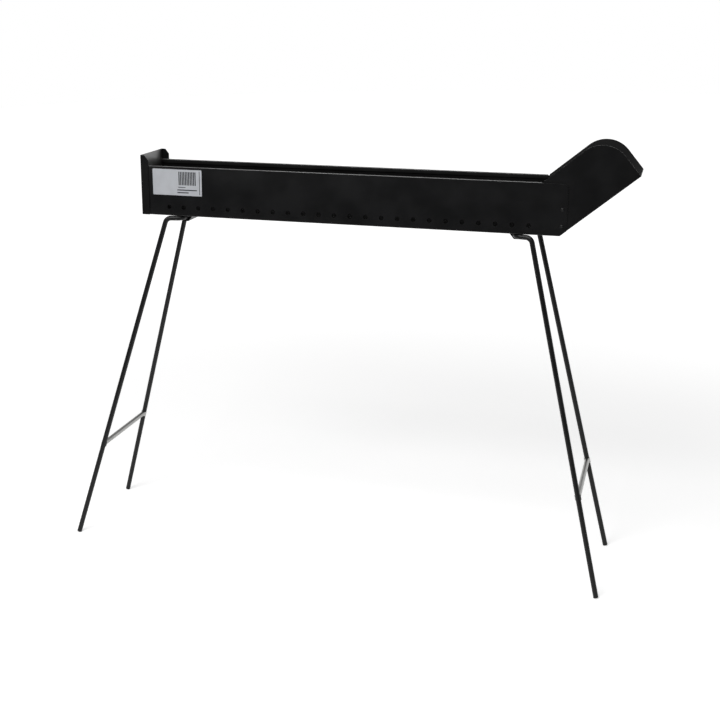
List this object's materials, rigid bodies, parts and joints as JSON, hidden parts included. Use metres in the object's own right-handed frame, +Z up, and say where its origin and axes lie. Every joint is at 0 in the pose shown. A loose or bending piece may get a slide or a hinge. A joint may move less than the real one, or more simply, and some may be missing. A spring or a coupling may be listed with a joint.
{
  "type": "skewer grill",
  "caption": "Narrow black steel charcoal trough for skewers, pierced along its walls, with a raised end plate, a sloping open chute and folding rod legs with bright braces.",
  "frame": {"origin": "middle of the outline's footprint, on the floor", "axes": "+X along the trough towards the chute, +Z up, -Y is the side with the first pair of feet seen from the front"},
  "size_m": [1.0786, 0.2442, 0.821],
  "materials": {
    "trough_paint": "satin black heat-proof paint",
    "end_plate_paint": "satin black heat-proof paint",
    "chute_paint": "satin black heat-proof paint",
    "leg_paint": "satin black paint",
    "strap_paint": "satin black paint",
    "rivet_paint": "satin black paint",
    "brace_zinc": "bright zinc plating"
  },
  "bodies": {
    "trough_body": {"chute": "chute_paint", "chute_rivet_far_high": "rivet_paint", "chute_rivet_far_low": "rivet_paint", "chute_rivet_near_high": "rivet_paint", "chute_rivet_near_low": "rivet_paint", "end_plate": "end_plate_paint", "left_leg_strap": "strap_paint", "left_strap_rivet_1": "rivet_paint", "left_strap_rivet_2": "rivet_paint", "left_strap_rivet_3": "rivet_paint", "left_strap_rivet_4": "rivet_paint", "right_leg_strap": "strap_paint", "right_strap_rivet_1": "rivet_paint", "right_strap_rivet_2": "rivet_paint", "right_strap_rivet_3": "rivet_paint", "right_strap_rivet_4": "rivet_paint", "trough": "trough_paint"},
    "left_leg": {"left_leg_frame": "leg_paint", "left_leg_brace": "brace_zinc"},
    "right_leg": {"right_leg_frame": "leg_paint", "right_leg_brace": "brace_zinc"}
  },
  "joints": [
    {"name": "left_leg_fold", "type": "hinge", "parent": "trough_body", "child": "left_leg", "pos_m": [-0.31559, 0, 0.65245], "axis": [0, -1, 0], "range_deg": [0, 109]},
    {"name": "right_leg_fold", "type": "hinge", "parent": "trough_body", "child": "right_leg", "pos_m": [0.32601, 0, 0.65245], "axis": [0, 1, 0], "range_deg": [0, 102]}
  ]
}
